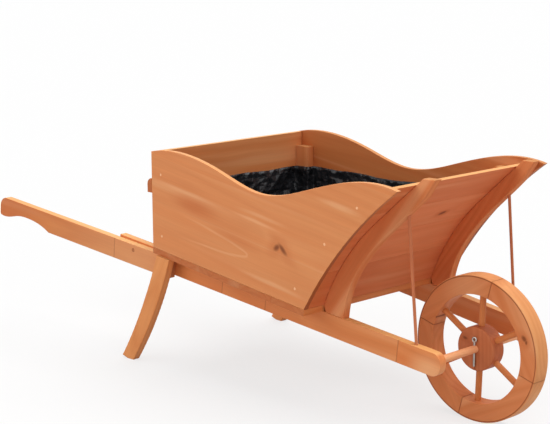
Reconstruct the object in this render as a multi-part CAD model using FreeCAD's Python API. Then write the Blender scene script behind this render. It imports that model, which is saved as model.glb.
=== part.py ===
import FreeCAD
import Part
import math
import os

Vector = FreeCAD.Vector

# Wheel, seen from the right side with angles measured clockwise from the top
WHEEL_RADIUS = 115.0
WHEEL_WIDTH = 29.0
RIM_DEPTH = 30.0
FELLOE_COUNT = 4
FELLOE_JOINT_ANGLE = 15.0
FELLOE_JOINT_GAP = 0.5
SPOKE_COUNT = 6
SPOKE_ANGLE = 2.0
SPOKE_RADIUS = 5.0
SPOKE_TENON = 10.0
HUB_RADIUS = 35.0
HUB_LENGTH = 27.0
HUB_EASE = 3.0
RIM_EASE = 1.5

# Axle and the two split pins that keep the hub in the middle of it
AXLE_RADIUS = 6.0
AXLE_SEAT_DEPTH = 9.0
HUB_SIDE_PLAY = 0.7
PIN_RADIUS = 1.6
PIN_SLOT = 0.6
PIN_LEG_DROP = 27.0
PIN_EYE_RADIUS = 3.4
PIN_EYE_WIRE = 1.3
PIN_EYE_RISE = 15.2

# Rails: they rise towards the handles and spread apart towards them
RAIL_THICKNESS = 15.0
RAIL_HEIGHT = 36.0
RAIL_BELOW_AXLE = 16.6
RAIL_PITCH = 6.56
RAIL_SPLAY = 3.09
RAIL_FACE_AT_AXLE = 125.0
RAIL_TAIL = 693.0
RAIL_NOSE = 23.0
RAIL_NOSE_RADIUS = 16.0

# Handles, lapped on the outer faces of the rails
HANDLE_THICKNESS = 15.0
HANDLE_HEIGHT = 37.0
HANDLE_PITCH = 5.82
HANDLE_REACH = 1018.0
HANDLE_DROP = 2.3
HANDLE_FRONT = 541.0
KNOB_DEPTH = 36.2
KNOB_TOP_RADIUS = 18.0
KNOB_LOW_RADIUS = 5.0
KNOB_SHOULDER = (30.0, 34.4)
GRIP_NECK = (55.0, 27.2)
GRIP_WAIST = (84.0, 24.8)
GRIP_FLARE = (118.0, 27.8)
GRIP_LENGTH = 148.0

# Legs, lapped on the outer faces of the handles
LEG_THICKNESS = 15.0
LEG_FOOT_FRONT = 625.0
LEG_FOOT_WIDTH = 28.5
LEG_FOOT_FLAT = 15.0
LEG_HEEL_RISE = 4.0
LEG_HEAD_FRONT = 527.0
LEG_HEAD_WIDTH = 31.0
LEG_REAR_BOW = 6.5
LEG_FRONT_BOW = 8.0

# Tub: floor on the rails, then the sides, the back and the flared front standing on it
FLOOR_THICKNESS = 10.0
FLOOR_FRONT = 208.5
FLOOR_BOARD_COUNT = 5
FLOOR_BOARD_GAP = 0.5
TUB_WIDTH = 359.0
TUB_REAR = 570.5
PANEL_THICKNESS = 9.0
PANEL_FRONT_BOW = 14.6
SIDE_REAR_TOP = 376.5
SIDE_TIP = (-15.0, 378.0)
SIDE_FRONT_CREST = (-57.0, 383.6)
SIDE_FRONT_SLOPE = (-185.5, 360.7)
SIDE_DIP = (-300.2, 337.5)
SIDE_REAR_SLOPE = (-404.9, 363.6)
SIDE_REAR_CREST = (-504.6, 381.6)
BATTEN_THICKNESS = 12.0
BATTEN_HEIGHT = 25.0
BATTEN_TOP = 330.0
BATTEN_ROUND = 11.0

# Flared front: boards on a curve that is straight at the top and bends down to the floor
FRONT_TOP = (-26.0, 379.5)
FRONT_LEAN = 41.5
FRONT_RADIUS = 375.0
FRONT_BOARD_COUNT = 4
FRONT_BOARD_GAP = 0.5

# Cleats in the four corners of the tub
CLEAT_THICKNESS = 15.0
CLEAT_WIDTH = 30.0
REAR_CLEAT_TOP = 352.0
FRONT_CLEAT_TOP = 366.0

# Ribs that carry the flared front, and the thin stays in front of them
RIB_THICKNESS = 15.0
RIB_WIDTH = 29.0
RIB_WAIST_WIDTH = 26.0
RIB_NECK_WIDTH = 23.0
RIB_FOOT_GAP = 5.5
RIB_FOOT_LENGTH = 36.0
RIB_TOP = 390.5
RIB_HEAD_LENGTH = 22.0
RIB_TAPER = 16.5
STAY_RADIUS = 2.4
STAY_SOCKET = 8.0
STAY_FOOT = 27.0
STAY_HEAD_HEIGHT = 331.0

# Soft liner
LINER_WALL = 1.5
LINER_TOP = 318.0
LINER_GAP = 0.4

# Nails and screws
NAIL_RADIUS = 1.0
NAIL_HEAD_RADIUS = 2.2
NAIL_HEAD = 0.8
NAIL_LENGTH = 21.0
SCREW_RADIUS = 1.75
SCREW_HEAD_RADIUS = 3.5
SCREW_HEAD = 2.0
SCREW_LENGTH = 26.0
LEG_SCREW_LENGTH = 41.0
RIB_SCREW_LENGTH = 60.0
SIDE_NAIL_HEIGHTS = (233.0, 339.0)
SIDE_NAIL_RUNS = ((74.0, -6.5), (164.0, -6.0), (260.0, 6.0))
BATTEN_SCREW_INSET = 14.0
HANDLE_SCREW_BACK = 635.0
HANDLE_SCREW_DEPTH = 10.0
LEG_SCREW_BACK = 550.0
LEG_SCREW_DEPTHS = (10.0, 27.0)
FRONT_NAIL_SHARE = 0.7

# Clearances and eased edges
RUNNING_CLEARANCE = 0.06
SOCKET_CLEARANCE = 0.15
SEAT_GAP = 0.3
EASE = 1.2
PANEL_EASE = 0.8
REACH = 2000.0
TINY = 1e-6


# Geometry helpers

def profile(start, *steps):
    """Closed face in the XZ plane: a step is a point, or a list of points for an arc or a curve."""
    edges = []
    here = start
    for step in steps + (start,):
        points = [here] + (list(step) if isinstance(step, list) else [step])
        ends = [Vector(x, 0, z) for x, z in points]
        if len(ends) == 3:
            edges.append(Part.Arc(*ends).toShape())
        elif len(ends) > 3:
            curve = Part.BSplineCurve()
            curve.interpolate(ends)
            edges.append(curve.toShape())
        elif ends[0].distanceToPoint(ends[1]) > TINY:
            edges.append(Part.makeLine(*ends))
        here = points[-1]
    return Part.Face(Part.Wire(edges))


def outline_edges(solid):
    """Edges that lie in a plane square to the width of the object."""
    return [edge for edge in solid.Edges if edge.BoundBox.YLength < TINY]


def plank(face, y_from, y_to, ease=0.0, skew=0.0):
    """Board with the given outline between two upright planes, its outline edges eased."""
    solid = face.extrude(Vector(skew, y_to - y_from, 0))
    solid.translate(Vector(0, y_from, 0))
    if ease > 0:
        solid = solid.makeFillet(ease, outline_edges(solid))
    return solid


def box(low, high):
    """Upright box between two corners."""
    size = [b - a for a, b in zip(low, high)]
    return Part.makeBox(*size, Vector(*low))


def rod(start, end, radius):
    """Round bar between two points."""
    return Part.makeCylinder(radius, (end - start).Length, start, end - start)


def bowed(a, b, bow):
    """Middle of an arc from a to b that bulges to the right of the line by the bow."""
    run = math.hypot(b[0] - a[0], b[1] - a[1])
    right = ((b[1] - a[1]) / run, (a[0] - b[0]) / run)
    return ((a[0] + b[0]) / 2 + bow * right[0], (a[1] + b[1]) / 2 + bow * right[1])


def rounded(centre, radius, degrees):
    """Point on a circle, with the angle measured from the first axis."""
    turn = math.radians(degrees)
    return (centre[0] + radius * math.cos(turn), centre[1] + radius * math.sin(turn))


def mirrored(shape):
    """The same shape on the other side of the middle plane."""
    return shape.mirror(Vector(0, 0, 0), Vector(0, 1, 0))


def both_sides(shapes):
    """A list of right-hand shapes followed by their left-hand copies."""
    return shapes + [mirrored(shape) for shape in shapes]


def drilled(solid, holes):
    """A solid with holes taken out of it."""
    return solid.cut(Part.makeCompound(holes)).removeSplitter()


# Directions of the rails and the handles

PITCH = math.radians(RAIL_PITCH)
SPLAY = math.radians(RAIL_SPLAY)
RAIL_TOP = RAIL_HEIGHT - RAIL_BELOW_AXLE
FLOOR_LOW = RAIL_TOP + SEAT_GAP
FLOOR_HIGH = FLOOR_LOW + FLOOR_THICKNESS
PANEL_LOW = FLOOR_HIGH + SEAT_GAP
TUB_INSIDE = TUB_WIDTH / 2 - PANEL_THICKNESS


def on_rail(along, up):
    """Point in the XZ plane from distances along the rail and square to it, both from the axle."""
    x = along * math.cos(PITCH) + up * math.sin(PITCH)
    z = WHEEL_RADIUS - along * math.sin(PITCH) + up * math.cos(PITCH)
    return (x, z)


def rail_line(x, up):
    """Height of a line parallel to the rail at a given x."""
    return WHEEL_RADIUS + up / math.cos(PITCH) - x * math.tan(PITCH)


HANDLE_TILT = math.radians(HANDLE_PITCH)


def handle_top(x):
    """Height of the top edge of the handle at a given x."""
    return rail_line(-TUB_REAR, RAIL_TOP) - HANDLE_DROP - (x + TUB_REAR) * math.tan(HANDLE_TILT)


def on_handle(along, down):
    """Point in the XZ plane from distances along the handle from its end and down from its top edge."""
    x = -HANDLE_REACH + along * math.cos(HANDLE_TILT) - down * math.sin(HANDLE_TILT)
    z = handle_top(-HANDLE_REACH) - along * math.sin(HANDLE_TILT) - down * math.cos(HANDLE_TILT)
    return (x, z)


def splayed(shape):
    """Move a shape drawn beside the rail's outer face into the splayed plane of the right rail."""
    shape.rotate(Vector(0, 0, 0), Vector(0, 0, 1), RAIL_SPLAY)
    shape.translate(Vector(0, -RAIL_FACE_AT_AXLE, 0))
    return shape


def in_rail_plane(steps):
    """Steps of an outline, stretched so that it keeps its lengthwise places once it is splayed."""
    stretched = []
    for step in steps:
        if isinstance(step, list):
            stretched.append(in_rail_plane(step))
        else:
            stretched.append((step[0] / math.cos(SPLAY), step[1]))
    return stretched


def rail_face(x):
    """Distance of the rail's outer face from the middle plane."""
    return RAIL_FACE_AT_AXLE - x * math.tan(SPLAY)


# The flared front curve, measured from its top

LEAN = math.radians(FRONT_LEAN)
UPWARD = (math.cos(LEAN), math.sin(LEAN))
FORWARD = (math.sin(LEAN), -math.cos(LEAN))
FRONT_FOOT = on_rail(-FLOOR_FRONT, FLOOR_HIGH)
FOOT_FALL = -(FRONT_FOOT[0] - FRONT_TOP[0]) * UPWARD[0] - (FRONT_FOOT[1] - FRONT_TOP[1]) * UPWARD[1]
FOOT_BEND = (FRONT_FOOT[0] - FRONT_TOP[0]) * FORWARD[0] + (FRONT_FOOT[1] - FRONT_TOP[1]) * FORWARD[1]
BEND_FALL = math.sqrt(2 * FRONT_RADIUS * FOOT_BEND - FOOT_BEND ** 2)
FRONT_STRAIGHT = FOOT_FALL - BEND_FALL
FRONT_RUN = FRONT_STRAIGHT + FRONT_RADIUS * math.asin(BEND_FALL / FRONT_RADIUS)


def on_front(run, back):
    """Point at a distance down the front curve from its top, set back behind the curve."""
    straight = min(run, FRONT_STRAIGHT)
    turn = max(run - FRONT_STRAIGHT, 0.0) / FRONT_RADIUS
    x = FRONT_TOP[0] - straight * UPWARD[0]
    z = FRONT_TOP[1] - straight * UPWARD[1]
    fall = (FRONT_RADIUS + back) * math.sin(turn)
    ahead = FRONT_RADIUS - (FRONT_RADIUS + back) * math.cos(turn)
    return (x - fall * UPWARD[0] + ahead * FORWARD[0], z - fall * UPWARD[1] + ahead * FORWARD[1])


def along_front(start, end, back):
    """Steps that follow the front curve from one distance down it to another."""
    stops = [start, end]
    if min(stops) < FRONT_STRAIGHT < max(stops):
        stops.insert(1, FRONT_STRAIGHT)
    steps = []
    for here, there in zip(stops, stops[1:]):
        middle = (here + there) / 2
        if middle < FRONT_STRAIGHT:
            steps.append(on_front(there, back))
        else:
            steps.append([on_front(middle, back), on_front(there, back)])
    return steps


def front_at_height(z, back):
    """Point of the straight part of the front curve at a height, set back behind the curve."""
    run = (FRONT_TOP[1] + back * UPWARD[0] - z) / UPWARD[1]
    return on_front(run, back)


def front_band(upper, lower, front, back):
    """Outline of a strip behind the front curve."""
    fall = along_front(upper, lower, front)
    rise = along_front(lower, upper, back)
    return profile(on_front(upper, front), *fall, on_front(lower, back), *rise)


def below_line(up):
    """Everything under a plane parallel to the rails' top faces."""
    upper = [on_rail(-REACH, up), on_rail(REACH, up)]
    lower = [on_rail(REACH, up - REACH), on_rail(-REACH, up - REACH)]
    return plank(profile(*upper, *lower), -REACH, REACH)


# Nails and screws

def fastener(place, direction, shank, head, head_height, length, spare=0.0):
    """Round-headed pin driven from a place on a surface, or its hole when spare is given."""
    direction = Vector(*direction).normalize()
    start = Vector(*place)
    cap = rod(start, start + direction * (head_height + spare), head + spare)
    pin = rod(start, start + direction * (length + spare), shank + spare)
    return cap.fuse(pin).removeSplitter()


def drive(places, shank, head, head_height, length):
    """Fasteners at a list of (place, direction), and the holes they sit in."""
    pins = [fastener(*place, shank, head, head_height, length) for place in places]
    holes = [fastener(*place, shank, head, head_height, length, SOCKET_CLEARANCE) for place in places]
    return pins, holes


def nails(places):
    return drive(places, NAIL_RADIUS, NAIL_HEAD_RADIUS, NAIL_HEAD, NAIL_LENGTH)


def screws(places, length):
    return drive(places, SCREW_RADIUS, SCREW_HEAD_RADIUS, SCREW_HEAD, length)


pieces = {}

# Rails, handles and legs of the right side

nose = RAIL_NOSE - RAIL_NOSE_RADIUS
low_centre = (nose, -RAIL_BELOW_AXLE + RAIL_NOSE_RADIUS)
high_centre = (nose, RAIL_TOP - RAIL_NOSE_RADIUS)
rail_outline = profile(
    on_rail(-RAIL_TAIL, -RAIL_BELOW_AXLE),
    on_rail(nose, -RAIL_BELOW_AXLE),
    [on_rail(*rounded(low_centre, RAIL_NOSE_RADIUS, -45)), on_rail(RAIL_NOSE, low_centre[1])],
    on_rail(RAIL_NOSE, high_centre[1]),
    [on_rail(*rounded(high_centre, RAIL_NOSE_RADIUS, 45)), on_rail(nose, RAIL_TOP)],
    on_rail(-RAIL_TAIL, RAIL_TOP))
rail = splayed(plank(rail_outline, 0, RAIL_THICKNESS, EASE))

handle_length = (HANDLE_REACH - HANDLE_FRONT) / math.cos(HANDLE_TILT)
knob_high = (KNOB_TOP_RADIUS, KNOB_TOP_RADIUS)
knob_low = (KNOB_LOW_RADIUS, KNOB_DEPTH - KNOB_LOW_RADIUS)
grip_corner = (GRIP_LENGTH, HANDLE_HEIGHT)
handle_outline = profile(
    on_handle(handle_length, HANDLE_HEIGHT),
    on_handle(handle_length, 0),
    on_handle(KNOB_TOP_RADIUS, 0),
    [on_handle(*rounded(knob_high, KNOB_TOP_RADIUS, 225)), on_handle(0, KNOB_TOP_RADIUS)],
    on_handle(0, KNOB_DEPTH - KNOB_LOW_RADIUS),
    [on_handle(*rounded(knob_low, KNOB_LOW_RADIUS, 135)), on_handle(KNOB_LOW_RADIUS, KNOB_DEPTH)],
    [on_handle(*point) for point in (KNOB_SHOULDER, GRIP_NECK, GRIP_WAIST, GRIP_FLARE, grip_corner)])
handle = splayed(plank(handle_outline, -HANDLE_THICKNESS, 0, EASE))

foot_front = (-LEG_FOOT_FRONT, 0.0)
heel = (-LEG_FOOT_FRONT - LEG_FOOT_WIDTH, LEG_HEEL_RISE)
head_back = -LEG_HEAD_FRONT - LEG_HEAD_WIDTH
head_rear = (head_back, rail_line(head_back, RAIL_TOP))
head_front = (-LEG_HEAD_FRONT, rail_line(-LEG_HEAD_FRONT, RAIL_TOP))
leg_outline = profile(
    foot_front,
    (-LEG_FOOT_FRONT - LEG_FOOT_FLAT, 0.0),
    heel,
    [bowed(heel, head_rear, LEG_REAR_BOW), head_rear],
    head_front,
    [bowed(head_front, foot_front, -LEG_FRONT_BOW), foot_front])
leg = splayed(plank(leg_outline, -HANDLE_THICKNESS - LEG_THICKNESS, -HANDLE_THICKNESS, EASE))

# Floor boards across the rails

floor_length = TUB_REAR / math.cos(PITCH) - FLOOR_FRONT
board_pitch = (floor_length + FLOOR_BOARD_GAP) / FLOOR_BOARD_COUNT
behind_tub = box((-REACH, -REACH, -REACH), (-TUB_REAR, REACH, REACH))
floor_boards = []
for number in range(FLOOR_BOARD_COUNT):
    ahead = -FLOOR_FRONT - number * board_pitch
    behind = ahead - board_pitch + FLOOR_BOARD_GAP
    if number == FLOOR_BOARD_COUNT - 1:
        behind -= FLOOR_THICKNESS
    outline = profile(
        on_rail(behind, FLOOR_LOW),
        on_rail(ahead, FLOOR_LOW),
        on_rail(ahead, FLOOR_HIGH),
        on_rail(behind, FLOOR_HIGH))
    floor_boards.append(plank(outline, -TUB_WIDTH / 2, TUB_WIDTH / 2).cut(behind_tub))

# Sides, back and batten

under_tub = below_line(PANEL_LOW)
inner_half = TUB_INSIDE - SEAT_GAP
toe = on_rail(-FLOOR_FRONT, PANEL_LOW)
side_rear_corner = (-TUB_REAR, SIDE_REAR_TOP)
side_outline = profile(
    (-TUB_REAR, rail_line(-TUB_REAR, PANEL_LOW)),
    toe,
    [bowed(toe, SIDE_TIP, -PANEL_FRONT_BOW), SIDE_TIP],
    [SIDE_FRONT_CREST, SIDE_FRONT_SLOPE, SIDE_DIP, SIDE_REAR_SLOPE, SIDE_REAR_CREST, side_rear_corner])
side_panel = plank(side_outline, -TUB_WIDTH / 2, -TUB_INSIDE, PANEL_EASE)

rear_panel = box((-TUB_REAR, -inner_half, 0), (-TUB_REAR + PANEL_THICKNESS, inner_half, SIDE_REAR_TOP))
rear_panel = rear_panel.cut(under_tub)

batten_low = BATTEN_TOP - BATTEN_HEIGHT
batten_back = -TUB_REAR - SEAT_GAP - BATTEN_THICKNESS
batten_round = (batten_back + BATTEN_ROUND, BATTEN_TOP - BATTEN_ROUND)
batten_outline = profile(
    (-TUB_REAR - SEAT_GAP, batten_low),
    (-TUB_REAR - SEAT_GAP, BATTEN_TOP),
    (batten_back + BATTEN_ROUND, BATTEN_TOP),
    [rounded(batten_round, BATTEN_ROUND, 135), (batten_back, BATTEN_TOP - BATTEN_ROUND)],
    (batten_back, batten_low))
rear_batten = plank(batten_outline, -TUB_WIDTH / 2, TUB_WIDTH / 2, PANEL_EASE)

# Flared front boards

above_front = box((-REACH, -REACH, FRONT_TOP[1]), (REACH, REACH, REACH))
front_pitch = (FRONT_RUN + FRONT_BOARD_GAP) / FRONT_BOARD_COUNT
front_boards = []
for number in range(FRONT_BOARD_COUNT):
    upper = number * front_pitch
    lower = upper + front_pitch - FRONT_BOARD_GAP
    if number == 0:
        upper -= PANEL_THICKNESS
    if number == FRONT_BOARD_COUNT - 1:
        lower += PANEL_THICKNESS
    board = plank(front_band(upper, lower, 0, PANEL_THICKNESS), -inner_half, inner_half)
    front_boards.append(board.cut(above_front).cut(under_tub))

# Cleats in the corners of the right side


def rear_cleat_shape(grow):
    """Upright cleat in the rear corner, larger all round by a margin."""
    start = (-TUB_REAR + PANEL_THICKNESS + SEAT_GAP - grow, -TUB_INSIDE + SEAT_GAP - grow, 0)
    end = (start[0] + CLEAT_WIDTH + 2 * grow, start[1] + CLEAT_THICKNESS + 2 * grow, REAR_CLEAT_TOP + grow)
    return box(start, end)


def front_cleat_shape(grow):
    """Curved cleat behind the ends of the front boards, larger all round by a margin."""
    near = PANEL_THICKNESS + SEAT_GAP - grow
    band = front_band(0.0, FRONT_RUN + CLEAT_WIDTH, near, near + CLEAT_WIDTH + 2 * grow)
    outer = -TUB_INSIDE + SEAT_GAP - grow
    above = box((-REACH, -REACH, FRONT_CLEAT_TOP + grow), (REACH, REACH, REACH))
    return plank(band, outer, outer + CLEAT_THICKNESS + 2 * grow).cut(above)


rear_cleat = rear_cleat_shape(0).cut(under_tub)
front_cleat = front_cleat_shape(0).cut(under_tub)

# Rib of the right side, standing on the rail with its rear edge against the front boards

rib_heel = -FLOOR_FRONT + RIB_FOOT_GAP
rib_head_run = (FRONT_TOP[1] - RIB_TOP) / UPWARD[1]
rib_head_rear = front_at_height(RIB_TOP, -SEAT_GAP)
rib_neck = on_front(rib_head_run + RIB_TAPER, -RIB_NECK_WIDTH)
rib_waist = on_front(FRONT_STRAIGHT, -RIB_WAIST_WIDTH)
rib_turn = on_front((FRONT_STRAIGHT + FRONT_RUN) / 2, -RIB_WIDTH)
rib_steps = [
    on_rail(rib_heel, FLOOR_LOW),
    on_front(FRONT_RUN, -SEAT_GAP),
    *along_front(FRONT_RUN, FRONT_STRAIGHT, -SEAT_GAP),
    rib_head_rear,
    (rib_head_rear[0] + RIB_HEAD_LENGTH, RIB_TOP),
    rib_neck,
    [rib_waist, rib_turn, on_rail(rib_heel + RIB_FOOT_LENGTH, FLOOR_LOW)]]
rib_outline = profile(*in_rail_plane(rib_steps))
rib_skew = RIB_THICKNESS * math.tan(SPLAY)
rib = splayed(plank(rib_outline, 0, RIB_THICKNESS, EASE, rib_skew))

# Stay of the right side, from the rail up to the front edge of the rib

rib_front_slope = (rib_neck[0] - rib_waist[0]) / (rib_neck[1] - rib_waist[1])
stay_head_x = rib_waist[0] + (STAY_HEAD_HEIGHT - rib_waist[1]) * rib_front_slope
stay_head = Vector(stay_head_x, -rail_face(stay_head_x) + RIB_THICKNESS / 2, STAY_HEAD_HEIGHT)
stay_foot_y = -rail_face(-STAY_FOOT) + RAIL_THICKNESS / 2
stay_foot = Vector(-STAY_FOOT, stay_foot_y, rail_line(-STAY_FOOT, RAIL_TOP))
stay_line = (stay_head - stay_foot).normalize()
stay_end = stay_line * STAY_SOCKET
stay = rod(stay_foot - stay_end, stay_head + stay_end, STAY_RADIUS)
hole_end = stay_line * (STAY_SOCKET + SEAT_GAP)
stay_hole = rod(stay_foot - hole_end, stay_head + hole_end, STAY_RADIUS + SOCKET_CLEARANCE)

# Axle, split pins and wheel

axle_end = rail_face(0) - RAIL_THICKNESS / math.cos(SPLAY) + AXLE_SEAT_DEPTH
across = Vector(0, 1, 0)


def axle_rod(half_length, radius):
    """Round bar on the wheel's axis, as long to the left as to the right."""
    centre = Vector(0, 0, WHEEL_RADIUS)
    return rod(centre - across * half_length, centre + across * half_length, radius)


axle = axle_rod(axle_end, AXLE_RADIUS)
axle_hole = axle_rod(axle_end + SEAT_GAP, AXLE_RADIUS + SOCKET_CLEARANCE)

pin_y = -HUB_LENGTH / 2 - HUB_SIDE_PLAY - PIN_RADIUS
pin_foot = Vector(0, pin_y, WHEEL_RADIUS - PIN_LEG_DROP)
pin_neck = Vector(0, pin_y, WHEEL_RADIUS + PIN_EYE_RISE - PIN_EYE_RADIUS)
pin_eye = Vector(0, pin_y, WHEEL_RADIUS + PIN_EYE_RISE)
slot_half = PIN_SLOT / 2
slot_width = 2 * PIN_RADIUS
slot_top = pin_neck.z - PIN_RADIUS
pin_slot = box((-slot_half, pin_y - slot_width, 0), (slot_half, pin_y + slot_width, slot_top))
split_pin = rod(pin_foot, pin_neck, PIN_RADIUS).cut(pin_slot)
split_pin = split_pin.fuse(Part.makeTorus(PIN_EYE_RADIUS, PIN_EYE_WIRE, pin_eye, across)).removeSplitter()
pin_hole = rod(pin_foot, pin_neck, PIN_RADIUS + SOCKET_CLEARANCE)

hub = axle_rod(HUB_LENGTH / 2, HUB_RADIUS)
hub = hub.makeFillet(HUB_EASE, outline_edges(hub))
hub = hub.cut(axle_rod(HUB_LENGTH, AXLE_RADIUS + RUNNING_CLEARANCE))


def on_wheel(radius, clockwise):
    """Point in the wheel's plane from a radius and a clockwise angle from the top."""
    return rounded((0.0, WHEEL_RADIUS), radius, 90 - clockwise)


rim_inside = WHEEL_RADIUS - RIM_DEPTH
spoke_low = HUB_RADIUS - SPOKE_TENON
spoke_high = rim_inside + SPOKE_TENON


def spoke_rod(angle, low, high, radius):
    """Round bar in the middle plane of the wheel between two distances from the axle."""
    ends = [on_wheel(low, angle), on_wheel(high, angle)]
    return rod(*[Vector(x, 0, z) for x, z in ends], radius)


spokes = []
spoke_holes = []
for number in range(SPOKE_COUNT):
    angle = SPOKE_ANGLE + number * 360 / SPOKE_COUNT
    spokes.append(spoke_rod(angle, spoke_low, spoke_high, SPOKE_RADIUS))
    hole_radius = SPOKE_RADIUS + SOCKET_CLEARANCE
    spoke_holes.append(spoke_rod(angle, spoke_low - SEAT_GAP, spoke_high + SEAT_GAP, hole_radius))

felloes = []
for number in range(FELLOE_COUNT):
    start = FELLOE_JOINT_ANGLE + number * 360 / FELLOE_COUNT
    end = start + 360 / FELLOE_COUNT
    middle = (start + end) / 2
    outer_cut = math.degrees(math.asin(FELLOE_JOINT_GAP / 2 / WHEEL_RADIUS))
    inner_cut = math.degrees(math.asin(FELLOE_JOINT_GAP / 2 / rim_inside))
    outline = profile(
        on_wheel(WHEEL_RADIUS, start + outer_cut),
        [on_wheel(WHEEL_RADIUS, middle), on_wheel(WHEEL_RADIUS, end - outer_cut)],
        on_wheel(rim_inside, end - inner_cut),
        [on_wheel(rim_inside, middle), on_wheel(rim_inside, start + inner_cut)])
    felloe = plank(outline, -WHEEL_WIDTH / 2, WHEEL_WIDTH / 2)
    round_edges = [edge for edge in outline_edges(felloe) if edge.Curve.TypeId == "Part::GeomCircle"]
    felloes.append(felloe.makeFillet(RIM_EASE, round_edges))

# Soft liner: a tray that follows the inside of the tub and its cleats


def tub_inside(gap):
    """Block that fills the tub at a distance from its walls, open at the top."""
    back = -TUB_REAR + PANEL_THICKNESS + gap
    depth = PANEL_THICKNESS + gap
    low = FRONT_RUN + CLEAT_WIDTH
    front_low = on_front(low, depth)
    front_high = on_front(0.0, depth)
    front = along_front(low, 0.0, depth)
    outline = profile((back, front_low[1]), front_low, *front, (back, front_high[1]))
    side = TUB_INSIDE - gap
    cleats = [rear_cleat_shape(gap - SEAT_GAP), front_cleat_shape(gap - SEAT_GAP)]
    return plank(outline, -side, side).cut([below_line(FLOOR_HIGH + gap)] + both_sides(cleats))


liner_outer = SEAT_GAP + LINER_GAP
above_liner = box((-REACH, -REACH, LINER_TOP), (REACH, REACH, REACH))
liner = tub_inside(liner_outer).cut(above_liner).cut(tub_inside(liner_outer + LINER_WALL))

# Nails and screws of the right side

cleat_centre = -TUB_REAR + PANEL_THICKNESS + SEAT_GAP + CLEAT_WIDTH / 2
cleat_y = -TUB_INSIDE + SEAT_GAP + CLEAT_THICKNESS / 2
side_face = -TUB_WIDTH / 2
cleat_back = PANEL_THICKNESS + SEAT_GAP + CLEAT_WIDTH / 2
side_places = [((cleat_centre, side_face, z), (0, 1, 0)) for z in SIDE_NAIL_HEIGHTS]
for run, off_middle in SIDE_NAIL_RUNS:
    x, z = on_front(run, cleat_back + off_middle)
    side_places.append(((x, side_face, z), (0, 1, 0)))
side_nails, side_holes = nails(side_places)

rear_places = [((-TUB_REAR, cleat_y, z), (1, 0, 0)) for z in SIDE_NAIL_HEIGHTS]
rear_nails, rear_holes = nails(rear_places)

front_places = []
for number in range(FRONT_BOARD_COUNT):
    run = (number + FRONT_NAIL_SHARE) * front_pitch
    outside = on_front(run, 0)
    inside = on_front(run, PANEL_THICKNESS)
    rearward = (inside[0] - outside[0], 0, inside[1] - outside[1])
    forward = (-rearward[0], 0, -rearward[2])
    rib_y = -rail_face(outside[0]) + RIB_THICKNESS / 2
    front_places.append(((outside[0], cleat_y, outside[1]), rearward))
    front_places.append(((inside[0], rib_y, inside[1]), forward))
front_nails, front_holes = nails(front_places)

downward = (-math.sin(PITCH), 0, -math.cos(PITCH))
floor_places = []
for number in range(FLOOR_BOARD_COUNT):
    middle = -FLOOR_FRONT - (number + 0.5) * board_pitch
    x, z = on_rail(middle, FLOOR_HIGH)
    floor_places.append(((x, -rail_face(x) + RAIL_THICKNESS / 2, z), downward))
floor_nail_length = NAIL_LENGTH + FLOOR_THICKNESS
floor_nails, floor_holes = drive(floor_places, NAIL_RADIUS, NAIL_HEAD_RADIUS, NAIL_HEAD, floor_nail_length)

inward = (-math.sin(SPLAY), math.cos(SPLAY), 0)
outward = (math.sin(SPLAY), -math.cos(SPLAY), 0)


def beside_rail(x, out, z):
    """Place on an upright plane at a distance out from the rail's outer face."""
    across_x = x * math.cos(SPLAY) + out * math.sin(SPLAY)
    across_y = x * math.sin(SPLAY) - out * math.cos(SPLAY) - RAIL_FACE_AT_AXLE
    return (across_x, across_y, z)


handle_screw_z = handle_top(-HANDLE_SCREW_BACK) - HANDLE_SCREW_DEPTH
handle_place = (beside_rail(-HANDLE_SCREW_BACK, HANDLE_THICKNESS, handle_screw_z), inward)
handle_screws, handle_holes = screws([handle_place], SCREW_LENGTH)

leg_places = []
for depth in LEG_SCREW_DEPTHS:
    screw_z = handle_top(-LEG_SCREW_BACK) - depth
    leg_places.append((beside_rail(-LEG_SCREW_BACK, -RAIL_THICKNESS, screw_z), outward))
leg_screws, leg_holes = screws(leg_places, LEG_SCREW_LENGTH)

rib_screw_along = rib_heel + RIB_FOOT_LENGTH / 2
x, z = on_rail(rib_screw_along, -RAIL_BELOW_AXLE)
rib_place = ((x, -rail_face(x) + RAIL_THICKNESS / 2, z), (math.sin(PITCH), 0, math.cos(PITCH)))
rib_screws, rib_holes = screws([rib_place], RIB_SCREW_LENGTH)

batten_place = ((batten_back, cleat_y, batten_low + BATTEN_SCREW_INSET), (1, 0, 0))
batten_screws, batten_holes = screws([batten_place], SCREW_LENGTH)

# Drill the pieces and collect them under their names

rail = drilled(rail, [axle_hole, stay_hole] + floor_holes + handle_holes + leg_holes + rib_holes)
handle = drilled(handle, handle_holes + leg_holes)
leg = drilled(leg, leg_holes)
side_panel = drilled(side_panel, side_holes)
rear_cleat = drilled(rear_cleat, side_holes + rear_holes + batten_holes)
front_cleat = drilled(front_cleat, side_holes + front_holes)
rib = drilled(rib, [stay_hole] + front_holes + rib_holes)
paired = {
    "rail": rail,
    "handle": handle,
    "leg": leg,
    "side_panel": side_panel,
    "rear_cleat": rear_cleat,
    "front_cleat": front_cleat,
    "rib": rib,
    "stay": stay}
for name, shape in paired.items():
    pieces[name + "_right"] = shape
    pieces[name + "_left"] = mirrored(shape)

for number, board in enumerate(floor_boards, 1):
    pieces["floor_board_%d" % number] = drilled(board, both_sides(floor_holes))
for number, board in enumerate(front_boards, 1):
    pieces["front_board_%d" % number] = drilled(board, both_sides(front_holes))
pieces["rear_panel"] = drilled(rear_panel, both_sides(rear_holes + batten_holes))
pieces["rear_batten"] = drilled(rear_batten, both_sides(batten_holes))
pieces["liner"] = liner

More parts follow.
